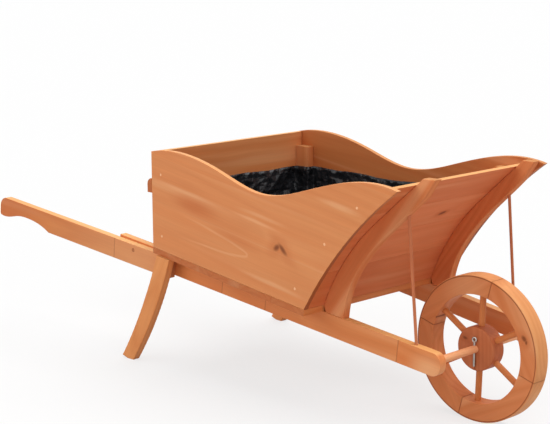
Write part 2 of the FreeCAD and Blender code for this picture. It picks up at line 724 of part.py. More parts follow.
pieces["axle"] = drilled(axle, both_sides([pin_hole]))
pieces["split_pins"] = Part.makeCompound(both_sides([split_pin]))
pieces["wheel_hub"] = drilled(hub, spoke_holes)
for number, spoke in enumerate(spokes, 1):
    pieces["spoke_%d" % number] = spoke
for number, felloe in enumerate(felloes, 1):
    pieces["felloe_%d" % number] = drilled(felloe, spoke_holes)

pieces["side_nails"] = Part.makeCompound(both_sides(side_nails))
pieces["rear_nails"] = Part.makeCompound(both_sides(rear_nails))
pieces["front_nails"] = Part.makeCompound(both_sides(front_nails))
pieces["floor_nails"] = Part.makeCompound(both_sides(floor_nails))
pieces["handle_screws"] = Part.makeCompound(both_sides(handle_screws))
pieces["leg_screws"] = Part.makeCompound(both_sides(leg_screws))
pieces["rib_screws"] = Part.makeCompound(both_sides(rib_screws))
pieces["batten_screws"] = Part.makeCompound(both_sides(batten_screws))

# Centre the length on the origin and write one file for each piece

handle_end = pieces["handle_right"].optimalBoundingBox(False, False).XMin
shift = Vector(-(handle_end + WHEEL_RADIUS) / 2, 0, 0)
os.makedirs("parts", exist_ok=True)
for name, shape in pieces.items():
    shape.translate(shift)
    shape.exportStep("parts/%s.step" % name)
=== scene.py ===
import math
from collections import namedtuple

import bmesh
import bpy
from mathutils import Matrix, Vector, noise


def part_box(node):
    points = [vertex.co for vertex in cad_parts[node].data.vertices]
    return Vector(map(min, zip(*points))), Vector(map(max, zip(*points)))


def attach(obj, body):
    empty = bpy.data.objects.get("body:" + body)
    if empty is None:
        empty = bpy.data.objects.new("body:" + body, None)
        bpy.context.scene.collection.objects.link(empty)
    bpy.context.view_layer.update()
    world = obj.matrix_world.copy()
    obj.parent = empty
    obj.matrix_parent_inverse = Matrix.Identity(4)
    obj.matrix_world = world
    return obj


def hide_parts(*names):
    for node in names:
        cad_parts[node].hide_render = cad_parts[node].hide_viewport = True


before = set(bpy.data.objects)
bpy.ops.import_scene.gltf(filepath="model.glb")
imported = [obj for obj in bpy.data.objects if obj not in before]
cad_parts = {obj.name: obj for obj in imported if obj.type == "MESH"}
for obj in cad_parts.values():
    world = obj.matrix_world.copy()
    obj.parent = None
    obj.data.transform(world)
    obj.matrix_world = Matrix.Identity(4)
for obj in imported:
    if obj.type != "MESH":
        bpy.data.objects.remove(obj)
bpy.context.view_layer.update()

# Places and directions that several parts of the scene share, in metres in the part's frame
HUB_LOW, HUB_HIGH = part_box("wheel_hub")
AXLE_X = HUB_LOW[0] * 0.5 + HUB_HIGH[0] * 0.5
WHEEL_RADIUS = 0.115
WHEEL_CENTRE = (AXLE_X, 0.0, WHEEL_RADIUS)
RAIL_PITCH = math.radians(6.56)
RAIL_SPLAY = math.radians(3.09)
HANDLE_PITCH = math.radians(5.82)
FLOOR_BOARDS = [f"floor_board_{number}" for number in range(1, 6)]
UP = Vector((0.0, 0.0, 1.0))
SIDEWAYS = Vector((0.0, 1.0, 0.0))
AHEAD = Vector((1.0, 0.0, 0.0))


# Colours

def srgb(red, green, blue):
    """Linear colour of a display colour given from 0 to 255."""
    linear = []
    for value in (red, green, blue):
        share = value / 255.0
        if share <= 0.04045:
            linear.append(share / 12.92)
        else:
            linear.append(((share + 0.055) / 1.055) ** 2.4)
    return (*linear, 1.0)


def grey(level):
    """Linear grey of a level from 0 to 1."""
    return (level, level, level, 1.0)


# Each wood tone: early wood, late wood and the warmer patches of the stain
TONES = {
    "panel": (srgb(226, 150, 95), srgb(208, 122, 70), srgb(216, 126, 70)),
    # The far side takes a darker copy of the panel tone, as painted shade
    "far_panel_shaded": (srgb(204, 124, 70), srgb(184, 96, 48), srgb(192, 102, 50)),
    "front": (srgb(234, 142, 94), srgb(213, 114, 69), srgb(221, 118, 69)),
    # A darker copy of the front tone, painted shade for the top and bottom front boards
    "front_shaded": (srgb(226, 134, 87), srgb(205, 107, 63), srgb(213, 111, 63)),
    "frame": (srgb(228, 144, 85), srgb(206, 114, 60), srgb(216, 122, 64)),
    "handle": (srgb(219, 135, 74), srgb(199, 108, 52), srgb(207, 115, 56)),
    "leg": (srgb(235, 157, 95), srgb(213, 127, 69), srgb(222, 135, 73)),
    "dowel": (srgb(218, 138, 82), srgb(196, 110, 58), srgb(208, 120, 64)),
    "axle": (srgb(252, 186, 136), srgb(238, 162, 112), srgb(244, 170, 118)),
    "hub": (srgb(202, 120, 78), srgb(180, 98, 58), srgb(190, 104, 62)),
    "rib": (srgb(227, 140, 87), srgb(207, 112, 65), srgb(217, 120, 69)),
    "stay": (srgb(206, 124, 84), srgb(182, 100, 64), srgb(192, 108, 68)),
    "rim": (srgb(222, 141, 90), srgb(202, 114, 66), srgb(210, 121, 69)),
}
# How much each tone shines: the strength of its sheen and its roughness
SHEEN = {
    "panel": (0.18, 0.45),
    "far_panel_shaded": (0.18, 0.45),
    "front": (0.12, 0.60),
    "front_shaded": (0.12, 0.60),
    "frame": (0.20, 0.42),
    "handle": (0.20, 0.42),
    "leg": (0.20, 0.45),
    "dowel": (0.20, 0.45),
    "axle": (0.20, 0.45),
    "hub": (0.18, 0.50),
    "rib": (0.10, 0.62),
    "stay": (0.15, 0.50),
    "rim": (0.15, 0.50),
}
KNOT_DARK = srgb(116, 58, 30)
# Dark of the joints, also used for the line of painted shade along the wheel's arris
SEAM_DARK = srgb(140, 70, 36)
END_DARK = srgb(146, 66, 28)
# Paler colour painted as a highlight on the tops, the sides' tops and the wheel's tread
HIGHLIGHT_PALE = srgb(250, 204, 132)
STREAK_PALE = srgb(238, 176, 126)
STREAK_DARK = srgb(196, 100, 50)
WHITE = grey(1.0)


# Shader graphs

# Sockets of a colour mix
MIX_SHARE = 0
MIX_FIRST = 6
MIX_SECOND = 7
MIX_RESULT = 2


class Graph:
    """A material's shader nodes, with short calls that add and link them."""

    def __init__(self, name):
        self.material = bpy.data.materials.new(name)
        self.material.use_nodes = True
        self.tree = self.material.node_tree
        self.shader = self.tree.nodes["Principled BSDF"]

    def put(self, socket, value):
        if isinstance(value, bpy.types.NodeSocket):
            self.tree.links.new(value, socket)
        else:
            socket.default_value = value

    def node(self, kind, *values):
        made = self.tree.nodes.new(kind)
        for socket, value in zip(made.inputs, values):
            self.put(socket, value)
        return made

    def math(self, operation, *values):
        made = self.node("ShaderNodeMath", *values)
        made.operation = operation
        return made.outputs[0]

    def vector(self, operation, *values):
        made = self.node("ShaderNodeVectorMath", *values)
        made.operation = operation
        return made.outputs["Value" if operation in ("DOT_PRODUCT", "LENGTH") else "Vector"]

    def scaled(self, value, factor):
        """A vector or colour times a number."""
        made = self.node("ShaderNodeVectorMath", value)
        made.operation = "SCALE"
        self.put(made.inputs["Scale"], factor)
        return made.outputs["Vector"]

    def combine(self, x, y, z):
        return self.node("ShaderNodeCombineXYZ", x, y, z).outputs[0]

    def noise(self, place, scale, detail):
        made = self.tree.nodes.new("ShaderNodeTexNoise")
        self.put(made.inputs["Vector"], place)
        made.inputs["Scale"].default_value = scale
        made.inputs["Detail"].default_value = detail
        return made.outputs["Fac"]

    def ramp(self, value, *stops):
        made = self.node("ShaderNodeValToRGB", value)
        made.color_ramp.interpolation = "EASE"
        elements = made.color_ramp.elements
        while len(elements) < len(stops):
            elements.new(0.5)
        for element, (place, level) in zip(elements, stops):
            element.position = place
            element.color = grey(level)
        return made.outputs["Color"]

    def blend(self, share, first, second):
        made = self.tree.nodes.new("ShaderNodeMix")
        made.data_type = "RGBA"
        self.put(made.inputs[MIX_SHARE], share)
        self.put(made.inputs[MIX_FIRST], first)
        self.put(made.inputs[MIX_SECOND], second)
        return made.outputs[MIX_RESULT]

    def tint(self, colour, cover, strength, other):
        """A colour that takes on another where a cover is one, as far as a strength."""
        return self.blend(self.math("MULTIPLY", cover, strength), colour, other)

    def fade(self, value, near, far):
        """One below the near value, easing to zero at the far one."""
        made = self.tree.nodes.new("ShaderNodeMapRange")
        made.interpolation_type = "SMOOTHSTEP"
        for name, level in (("From Min", near), ("From Max", far), ("To Min", 1.0), ("To Max", 0.0)):
            made.inputs[name].default_value = level
        self.put(made.inputs["Value"], value)
        return made.outputs["Result"]

    def bump(self, height, strength, distance):
        made = self.tree.nodes.new("ShaderNodeBump")
        made.inputs["Strength"].default_value = strength
        made.inputs["Distance"].default_value = distance
        self.put(made.inputs["Height"], height)
        self.put(self.shader.inputs["Normal"], made.outputs["Normal"])

    def place_in_part(self):
        """Position in the part's frame: every CAD node sits at the origin."""
        return self.tree.nodes.new("ShaderNodeTexCoord").outputs["Object"]

    def facing_in_part(self):
        """Direction in the part's frame that a surface faces."""
        return self.tree.nodes.new("ShaderNodeTexCoord").outputs["Normal"]


def give(node, material):
    """Puts one material on a CAD node."""
    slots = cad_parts[node].data.materials
    slots.clear()
    slots.append(material)


# Wood

# Marks on a board, each at a place in the part's frame
# A knot has a size, and the way it is drawn out along and across the grain
Knot = namedtuple("Knot", "place size drawn")
# A loop of pale grain has its tip at the place, runs back from there and is so wide at its end
Loop = namedtuple("Loop", "place run half_width")
# A patch has half sizes along and across the grain, and a shade: pale above zero, dark below
Patch = namedtuple("Patch", "place half_length half_width shade")
# A joint is a dark line through the place, square to a direction
Joint = namedtuple("Joint", "place square")

# Noises in the grain: how fast each changes along and across the board, where it starts and its detail
GRAIN_NOISES = {
    "sway": (2.2, 7.0, 0.0, 2.0),
    "lift": (2.6, 5.0, 40.0, 2.0),
    "waver": (9.0, 60.0, 80.0, 2.0),
    "fibre": (11.0, 380.0, 120.0, 3.0),
    "streak": (1.6, 46.0, 160.0, 3.0),
    "cloud": (2.0, 9.0, 200.0, 2.0),
    "pale": (1.2, 30.0, 240.0, 1.0),
}
SEED_STEP = 3.7
# How far the grain jumps beyond a seam: along the board, across it and out of its face
SEAM_JUMP = (1.37, 0.011, 0.0)
# The longest jumps from strip to strip: along, out, and across as a share of the strip's width
STRIP_JUMP = 3.1
STRIP_JUMP_OUT = 0.018
STRIP_JUMP_SHARE = 0.8
# Where the count of the strips begins, in strips from the middle of the board
STRIP_START = 20.3
# How far the pith wanders across and behind the face, and how far the rings waver
PITH_SWAY = 0.030
PITH_LIFT = 0.044
RING_WAVER = 0.0022
# Darkness through one growth ring, from the pith's side outwards
RING_PROFILE = ((0.0, 0.50), (0.22, 0.05), (0.50, 0.35), (0.82, 0.85), (1.0, 0.50))
# Knots, in sizes of the knot: where the bend of the rings, the core and the halo fade
KNOT_BEND = (0.3, 5.0)
KNOT_CORE = (0.35, 1.25)
KNOT_HALO = (0.8, 3.4)
# How far a knot pushes the rings out and how far its edge wavers, in sizes of the knot
KNOT_PUSH = 1.2
KNOT_WAVER = 1.1
# Where the drawn lines fade on either side
JOINT_LINE = (0.0004, 0.0016)
# The arris line is painted shade along the edge of the wheel
ARRIS_SHADE_LINE = (0.0004, 0.0013)
LOOP_LINE = (0.0006, 0.0030)
# Where a loop fades out, in shares of its run, and how far loops and patches wander with the grain
LOOP_END = (0.5, 1.1)
MARK_WANDER = 0.006
# Where the streaks and the patches fade
WARM_FADE = (0.36, 0.60)
PALE_FADE = (0.28, 0.44)
PATCH_FADE = (0.1, 1.0)
# How much each layer of colour shows
LATE_SHARE = 0.55
CLOUD_SHARE = 0.40
WARM_SHARE = 0.50
PALE_SHARE = 0.38
HALO_SHARE = 0.55
CORE_SHARE = 0.80
JOINT_SHARE = 0.45
# How dark the painted shade on the wheel's arris is
ARRIS_SHADE_SHARE = 0.80
END_SHARE = 0.50
# How far the painted highlight pales the tops, the sides' tops and the wheel's tread
HIGHLIGHT_SHARE = {"top": 0.50, "side": 0.25, "tread": 0.20}
# How squarely a surface faces up or along the grain where the painted highlight and the end grain begin and
# are full
TOP_FACING = (0.70, 0.97)
END_FACING = (0.60, 0.85)
# Where the tread's painted highlight and the arris's painted shade lie, as distances from the axle's line
OFF_AXLE = (1.0, 0.0, 1.0)
TREAD_FADE = (0.1136, WHEEL_RADIUS - 0.0002)
ARRIS_RADIUS = 0.1129
# How fibres and clouds change the brightness, the roughness and the relief
FIBRE_LEVEL = (0.14, 0.93)
CLOUD_LEVEL = (0.12, 0.94)
FIBRE_ROUGHNESS = 0.12
FIBRE_RELIEF = 0.6
RING_RELIEF = 0.4
RELIEF_STRENGTH = 0.15
RELIEF_DEPTH = 0.0003


class Board(Graph):
    """The grain of one piece of wood, measured from the middle of its node.

    The grain starts anew beyond each seam, and in each strip of a glued-up panel.
    """

    def __init__(self, node, along, face, seed, seams, strip):
        super().__init__("wood_" + node)
        low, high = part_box(node)
        self.centre = (Vector(low) + Vector(high)) / 2
        self.along = Vector(along).normalized()
        face = Vector(face)
        self.face = (face - self.along * face.dot(self.along)).normalized()
        self.across = self.face.cross(self.along)
        self.seed = seed
        self.offset = self.vector("SUBTRACT", self.place_in_part(), tuple(self.centre))
        self.length = self.measured(self.along)
        self.width = self.measured(self.across)
        self.grain = [self.length, self.width, self.measured(self.face)]
        for seam in seams:
            beyond = self.math("GREATER_THAN", self.length, self.reach(seam, self.along))
            self.jump(beyond, SEAM_JUMP)
        if strip:
            self.jump(self.strip_chance(strip), (STRIP_JUMP, strip * STRIP_JUMP_SHARE, STRIP_JUMP_OUT))
        self.waver = self.centred("waver")

    def measured(self, direction):
        """Distance from the middle of the board along a direction."""
        return self.vector("DOT_PRODUCT", self.offset, tuple(direction))

    def reach(self, place, direction):
        """How far a place lies from the middle of the board along a direction."""
        return (Vector(place) - self.centre).dot(direction)

    def from_place(self, place):
        """Distances from a place, along the grain and across it."""
        along = self.math("SUBTRACT", self.length, self.reach(place, self.along))
        across = self.math("SUBTRACT", self.width, self.reach(place, self.across))
        return along, across

    def wandering(self, across):
        """A distance across the grain that wanders with it."""
        return self.math("MULTIPLY_ADD", self.waver, MARK_WANDER, across)

    def strip_chance(self, strip):
        """A number from 0 to 1 for each strip of a glued-up panel."""
        shifted = self.math("ADD", self.width, strip * STRIP_START)
        index = self.math("FLOOR", self.math("DIVIDE", shifted, strip))
        pick = self.tree.nodes.new("ShaderNodeTexWhiteNoise")
        pick.noise_dimensions = "1D"
        self.put(pick.inputs["W"], self.math("ADD", index, self.seed))
        return pick.outputs["Value"]

    def jump(self, share, distances):
        """Shifts the grain by a share of three distances."""
        shifted = []
        for place, distance in zip(self.grain, distances):
            shifted.append(self.math("MULTIPLY_ADD", share, distance, place))
        self.grain = shifted

    def layer(self, name):
        """One of the noises in the grain, from 0 to 1."""
        along_scale, across_scale, start, detail = GRAIN_NOISES[name]
        along, across, out = self.grain
        place = self.combine(
            self.math("MULTIPLY_ADD", along, along_scale, self.seed * SEED_STEP + start),
            self.math("MULTIPLY", across, across_scale),
            self.math("MULTIPLY", out, across_scale),
        )
        return self.noise(place, 1.0, detail)

    def centred(self, name):
        """One of the noises in the grain, about zero."""
        return self.math("SUBTRACT", self.layer(name), 0.5)

    def from_pith(self, pith):
        """Distance from a pith that wanders as it runs along the board."""
        across = self.math("SUBTRACT", self.grain[1], pith[0])
        across = self.math("MULTIPLY_ADD", self.centred("sway"), PITH_SWAY, across)
        out = self.math("ADD", self.grain[2], pith[1])
        out = self.math("MULTIPLY_ADD", self.centred("lift"), PITH_LIFT, out)
        radius = self.vector("LENGTH", self.combine(0.0, across, out))
        return self.math("MULTIPLY_ADD", self.waver, RING_WAVER, radius)

    def from_knot(self, knot):
        """Distance from a knot, shorter the way that it is drawn out."""
        drawn = Vector(knot.drawn)
        way_along, way_across = drawn.normalized()
        along, across = self.from_place(knot.place)
        far = self.math("ADD", self.math("MULTIPLY", along, way_along),
                        self.math("MULTIPLY", across, way_across))
        off = self.math("SUBTRACT", self.math("MULTIPLY", across, way_along),
                        self.math("MULTIPLY", along, way_across))
        away = self.vector("LENGTH", self.combine(self.math("DIVIDE", far, drawn.length), off, 0.0))
        return self.math("MULTIPLY_ADD", self.waver, knot.size * KNOT_WAVER, away)

    def knot_marks(self, knots, radius):
        """The radius of the rings, bent round the knots, and the covers of their cores and halos."""
        core = 0.0
        halo = 0.0
        for knot in knots:
            away = self.from_knot(knot)
            bend, dark, pale = [
                self.fade(away, *(knot.size * limit for limit in limits))
                for limits in (KNOT_BEND, KNOT_CORE, KNOT_HALO)
            ]
            radius = self.math("MULTIPLY_ADD", bend, knot.size * KNOT_PUSH, radius)
            core = self.math("MAXIMUM", dark, core)
            halo = self.math("MAXIMUM", pale, halo)
        return radius, core, halo

    def loop_lines(self, loops):
        """One on the loops of pale grain, which are parabolas, and zero elsewhere."""
        lines = 0.0
        for loop in loops:
            behind = self.math("SUBTRACT", self.reach(loop.place, self.along), self.length)
            aside = self.wandering(self.from_place(loop.place)[1])
            steep = loop.run / loop.half_width ** 2
            bend = self.math("MULTIPLY", self.math("MULTIPLY", aside, aside), steep)
            gap = self.math("ABSOLUTE", self.math("SUBTRACT", behind, bend))
            slope = self.combine(1.0, self.math("MULTIPLY", aside, 2.0 * steep), 0.0)
            gap = self.math("DIVIDE", gap, self.vector("LENGTH", slope))
            shown = self.fade(behind, *(loop.run * limit for limit in LOOP_END))
            line = self.math("MULTIPLY", self.fade(gap, *LOOP_LINE), shown)
            lines = self.math("MAXIMUM", line, lines)
        return lines

    def joint_lines(self, joints):
        """One on the lines of the joints, and zero elsewhere."""
        lines = 0.0
        for place, square in joints:
            square = Vector(square).normalized()
            gap = self.math("SUBTRACT", self.measured(square), self.reach(place, square))
            lines = self.math("MAXIMUM", self.fade(self.math("ABSOLUTE", gap), *JOINT_LINE), lines)
        return lines

    def patch_cover(self, patch):
        """One in the middle of a patch, fading to zero at its edge."""
        along, across = self.from_place(patch.place)
        along = self.math("DIVIDE", along, patch.half_length)
        across = self.math("DIVIDE", self.wandering(across), patch.half_width)
        return self.fade(self.vector("LENGTH", self.combine(along, across, 0.0)), *PATCH_FADE)

    def from_axle(self):
        """Distance from the axle's line."""
        place = self.vector("SUBTRACT", self.place_in_part(), WHEEL_CENTRE)
        return self.vector("LENGTH", self.vector("MULTIPLY", place, OFF_AXLE))

    def tread_highlight_and_shade(self, colour):
        """The wheel's arris darkened by a line of painted shade in the colour, and the cover of the painted
        highlight on its tread.
        """
        radius = self.from_axle()
        arris = self.math("ABSOLUTE", self.math("SUBTRACT", radius, ARRIS_RADIUS))
        colour = self.tint(colour, self.fade(arris, *ARRIS_SHADE_LINE), ARRIS_SHADE_SHARE, SEAM_DARK)
        return colour, self.math("SUBTRACT", 1.0, self.fade(radius, *TREAD_FADE))

    def top_highlight(self, facing):
        """Cover of the tops of the boards, where a paler highlight is painted."""
        level = self.vector("DOT_PRODUCT", facing, tuple(UP))
        return self.math("SUBTRACT", 1.0, self.fade(level, *TOP_FACING))

    def end_grain(self, facing):
        """Cover of the surfaces that cut across the grain."""
        lengthwise = self.math("ABSOLUTE", self.vector("DOT_PRODUCT", facing, tuple(self.along)))
        return self.math("SUBTRACT", 1.0, self.fade(lengthwise, *END_FACING))


def wood(node, along, face, tone, seed, ring=0.009, pith=(0.0, 0.045), strip=None, knots=(), loops=(),
         patches=(), seams=(), joints=(), worn="top", ends=END_SHARE, contrast=1.0):
    """Stained softwood on a node: growth rings round a pith that lies along the grain.

    The pith's place is given across the board and behind its face, and the ring is the
    width of one growth ring. A strip is the width of the strips that a panel is glued up
    from. A seam is the place of a glued end joint. A paler highlight is painted on the
    tops of the boards, less on the sides' tops, or on the tread of the wheel, as the
    highlight says. Ends says how dark the end grain is, and contrast how much the rings
    and the warm streaks show.
    """
    early, late_wood, warm = TONES[tone]
    sheen, roughness = SHEEN[tone]
    board = Board(node, along, face, seed, seams, strip)
    radius, core, halo = board.knot_marks(knots, board.from_pith(pith))
    phase = board.math("FRACT", board.math("DIVIDE", radius, ring))
    late = board.ramp(phase, *RING_PROFILE)
    fibre = board.layer("fibre")
    cloud = board.layer("cloud")

    depth = board.math("MULTIPLY", cloud, CLOUD_SHARE)
    depth = board.math("MULTIPLY_ADD", late, LATE_SHARE * contrast, depth)
    colour = board.blend(depth, early, late_wood)
    colour = board.tint(colour, board.fade(board.layer("streak"), *WARM_FADE), WARM_SHARE * contrast, warm)
    pale = board.math("MAXIMUM", board.fade(board.layer("pale"), *PALE_FADE), board.loop_lines(loops))
    colour = board.tint(colour, pale, PALE_SHARE, STREAK_PALE)
    for patch in patches:
        stain = STREAK_PALE if patch.shade > 0.0 else STREAK_DARK
        colour = board.tint(colour, board.patch_cover(patch), abs(patch.shade), stain)
    if knots:
        colour = board.tint(colour, halo, HALO_SHARE, late_wood)
        colour = board.tint(colour, core, CORE_SHARE, KNOT_DARK)
    lines = [Joint(seam, board.along) for seam in seams] + list(joints)
    if lines:
        colour = board.tint(colour, board.joint_lines(lines), JOINT_SHARE, SEAM_DARK)

    # Painted highlight on the upward tops or on the wheel's tread, where the arris also gets a line of
    # painted shade
    facing = board.facing_in_part()
    if worn == "tread":
        colour, highlight_cover = board.tread_highlight_and_shade(colour)
    else:
        highlight_cover = board.top_highlight(facing)
    colour = board.tint(colour, highlight_cover, HIGHLIGHT_SHARE[worn], HIGHLIGHT_PALE)
    colour = board.tint(colour, board.end_grain(facing), ends, END_DARK)
    level = board.math("MULTIPLY", board.math("MULTIPLY_ADD", fibre, *FIBRE_LEVEL),
                       board.math("MULTIPLY_ADD", cloud, *CLOUD_LEVEL))
    board.put(board.shader.inputs["Base Color"], board.scaled(colour, level))
    uneven = board.math("MULTIPLY_ADD", fibre, FIBRE_ROUGHNESS, roughness)
    board.put(board.shader.inputs["Roughness"], uneven)
    board.shader.inputs["Specular IOR Level"].default_value = sheen
    relief = board.math("MULTIPLY_ADD", fibre, FIBRE_RELIEF, board.math("MULTIPLY", late, RING_RELIEF))
    board.bump(relief, RELIEF_STRENGTH, RELIEF_DEPTH)
    give(node, board.material)


def turned(pitch, splay):
    """Direction of a right-hand piece that falls forward by a pitch and closes in by a splay."""
    level = math.cos(pitch)
    return Vector((level * math.cos(splay), level * math.sin(splay), -math.sin(pitch)))


def mirrored(direction):
    """The left-hand twin of a right-hand place or direction."""
    return Vector((direction[0], -direction[1], direction[2]))


# Directions of the grain
RAIL_WAY = turned(RAIL_PITCH, RAIL_SPLAY)
HANDLE_WAY = turned(HANDLE_PITCH, RAIL_SPLAY)
LEG_WAY = Vector((0.095, 0.005, 0.193))
RIB_WAY = Vector((0.180, 0.008, 0.240))
STAY_WAY = Vector((-0.02, -0.01, 0.3))
FRONT_WAY = Vector((0.66, 0.0, 0.75))
FRONT_FACE = Vector((0.75, 0.0, -0.66))
SIDE_GRAIN = Vector((1.0, 0.0, -0.15))

# Tub
SIDE_STRIP = 0.078
SIDE_RING = 0.016
SIDE_CONTRAST = 0.6
SIDE_ENDS = 0.8
SIDE_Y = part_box("side_panel_right")[0][1]
SIDE_KNOTS = [
    Knot((0.1890, SIDE_Y, 0.2580), 0.0058, (1.3, 1.0)),
    Knot((0.2015, SIDE_Y, 0.2572), 0.0050, (2.4, -1.5)),
]
SIDE_LOOPS = [Loop((0.1200, SIDE_Y, 0.2344), 0.165, 0.0195)]
SIDE_PATCHES = [
    Patch((-0.0080, SIDE_Y, 0.2970), 0.080, 0.020, -0.55),
    Patch((-0.0280, SIDE_Y, 0.3165), 0.110, 0.006, 0.50),
    Patch((0.1400, SIDE_Y, 0.2922), 0.070, 0.005, 0.55),
    Patch((0.1560, SIDE_Y, 0.3010), 0.075, 0.005, 0.45),
    Patch((0.1778, SIDE_Y, 0.1964), 0.100, 0.006, 0.55),
    Patch((0.3220, SIDE_Y, 0.3410), 0.060, 0.008, 0.60),
    Patch((0.1000, SIDE_Y, 0.2550), 0.090, 0.012, -0.30),
]
wood("side_panel_right", SIDE_GRAIN, -SIDEWAYS, tone="panel", seed=1.3, ring=SIDE_RING, pith=(0.012, 0.050),
     strip=SIDE_STRIP, knots=SIDE_KNOTS, loops=SIDE_LOOPS, patches=SIDE_PATCHES,
     worn="side", ends=SIDE_ENDS, contrast=SIDE_CONTRAST)
# The far side is painted darker, as shade
wood("side_panel_left", SIDE_GRAIN, SIDEWAYS, tone="far_panel_shaded", seed=8.1, ring=SIDE_RING,
     pith=(-0.010, 0.050), strip=SIDE_STRIP, worn="side", ends=SIDE_ENDS, contrast=SIDE_CONTRAST)
wood("rear_panel", SIDEWAYS, -AHEAD, tone="panel", seed=4.4, ring=0.012, strip=0.070)
wood("rear_batten", SIDEWAYS, -AHEAD, tone="frame", seed=5.2)
for number, board_name in enumerate(FLOOR_BOARDS, start=1):
    wood(board_name, SIDEWAYS, UP, tone="frame", seed=10.0 + 2.7 * number, ends=0.45)

# Flared front, with painted shade on its top and bottom boards and in the recess between each rib and the
# side
FRONT_CONTRAST = 0.6
FRONT_TONES = ("front_shaded", "front", "front", "front_shaded")
FRONT_KNOT = (0.341, 0.037, 0.304)
FRONT_KNOTS = {2: [Knot(FRONT_KNOT, 0.0048, (1.7, 0.5))]}
FRONT_PATCHES = {2: [Patch(FRONT_KNOT, 0.024, 0.010, -0.70)]}
RECESS = Vector((0.300, -0.160, 0.270))
# Painted shade in the recesses between the ribs and the sides
RECESS_SHADE_PATCHES = [Patch(place, 0.045, 1.000, -0.45) for place in (RECESS, mirrored(RECESS))]
for number, tone in enumerate(FRONT_TONES, start=1):
    wood(f"front_board_{number}", SIDEWAYS, FRONT_FACE, tone, seed=20.0 + 3.3 * number,
         pith=(0.006 * (-1) ** number, 0.040), knots=FRONT_KNOTS.get(number, ()),
         patches=RECESS_SHADE_PATCHES + FRONT_PATCHES.get(number, []), contrast=FRONT_CONTRAST)

# Frame: the left-hand pieces have the grain of another board, and only the right-hand ones have seams
LEFT_SEED = 31.0
RAIL_SEAMS = [(0.0234, -0.148, 0.154), (0.1222, -0.143, 0.141), (0.3934, -0.128, 0.106)]
NOSE_PATCHES = [Patch((0.455, -0.125, 0.105), 0.050, 0.030, 0.70)]
HANDLE_SEAMS = [(-0.2323, -0.177, 0.180)]
# Paler towards the front end of each handle; the darker patch at the grip's end is painted shade
HANDLE_PATCHES = [
    Patch((-0.100, -0.170, 0.170), 0.40, 0.20, 0.42),
    Patch((-0.550, -0.195, 0.230), 0.16, 0.20, -0.50),
]
for side, mirror, start in (("right", Vector, 0.0), ("left", mirrored, LEFT_SEED)):
    near = side == "right"
    outward = mirror(-SIDEWAYS)
    wood(f"rail_{side}", mirror(RAIL_WAY), outward, tone="frame", seed=start + 2.1, ends=0.0,
         seams=RAIL_SEAMS if near else (), patches=NOSE_PATCHES if near else ())
    wood(f"handle_{side}", mirror(HANDLE_WAY), outward, tone="handle", seed=start + 4.7, pith=(0.004, 0.03),
         seams=HANDLE_SEAMS if near else (),
         patches=[patch._replace(place=mirror(patch.place)) for patch in HANDLE_PATCHES])
    wood(f"leg_{side}", mirror(LEG_WAY), outward, tone="leg", seed=start + 3.9, pith=(-0.006, 0.05))
    wood(f"rib_{side}", mirror(RIB_WAY), outward, tone="rib", seed=start + 7.7, pith=(0.01, 0.035))
    wood(f"stay_{side}", mirror(STAY_WAY), outward, tone="stay", seed=start + 9.2)
    wood(f"rear_cleat_{side}", UP, outward, tone="frame", seed=start + 11.5)
    wood(f"front_cleat_{side}", FRONT_WAY, outward, tone="frame", seed=start + 12.9)

# Wheel, with its angles in degrees from the top towards the front
SPOKES = 6
SPOKE_START = 2.0
FELLOES = 4
FELLOE_START = 15.0
HUB_Y = HUB_LOW[1]
RIM_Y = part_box("felloe_1")[0][1]
HUB_KNOTS = [
    Knot((0.4328, HUB_Y, 0.1288), 0.0027, (0.3, 1.8)),
    Knot((AXLE_X, HUB_Y, 0.0930), 0.0015, (10.0, 0.0)),
]
RIM_KNOTS = {
    1: [
        Knot((0.5440, RIM_Y, 0.1500), 0.0042, (1.4, 0.4)),
        Knot((0.5478, RIM_Y, 0.1450), 0.0024, (1.4, -0.8)),
    ],
    4: [Knot((0.3754, RIM_Y, 0.1506), 0.0015, (1.4, 0.3))],
}
# A paler patch near the top of the rim, as a painted highlight
RIM_HIGHLIGHT_PATCHES = {4: [Patch((0.4308, RIM_Y, 0.2117), 0.060, 0.060, 0.35)]}


def tangent(angle):
    """Direction along the rim at an angle in degrees."""
    turn = math.radians(angle)
    return Vector((math.cos(turn), 0.0, -math.sin(turn)))


def spoke_way(angle):
    """Direction out from the hub at an angle in degrees."""
    turn = math.radians(angle)
    return Vector((math.sin(turn), 0.0, math.cos(turn)))


wood("axle", SIDEWAYS, UP, tone="axle", seed=14.1, worn="tread")
wood("wheel_hub", UP, -SIDEWAYS, tone="hub", seed=15.8, ring=0.005, pith=(0.02, 0.03), knots=HUB_KNOTS,
     worn="tread")
for number in range(1, SPOKES + 1):
    angle = SPOKE_START + 360.0 / SPOKES * (number - 1)
    wood(f"spoke_{number}", spoke_way(angle), -SIDEWAYS, tone="dowel", seed=16.0 + 1.9 * number,
         worn="tread")
for number in range(1, FELLOES + 1):
    first = FELLOE_START + 360.0 / FELLOES * (number - 1)
    last = first + 360.0 / FELLOES
    wood(f"felloe_{number}", tangent((first + last) / 2), -SIDEWAYS, tone="rim", seed=50.0 + 4.1 * number,
         pith=(0.03, 0.03), knots=RIM_KNOTS.get(number, ()), patches=RIM_HIGHLIGHT_PATCHES.get(number, ()),
         joints=[Joint(WHEEL_CENTRE, tangent(end)) for end in (first, last)], worn="tread")


# Metal

STEEL_CLOUDS = 260.0
STEEL_DETAIL = 3.0
STEEL_UNEVEN = 0.25
STEEL_RELIEF = 0.08
STEEL_DEPTH = 0.0002


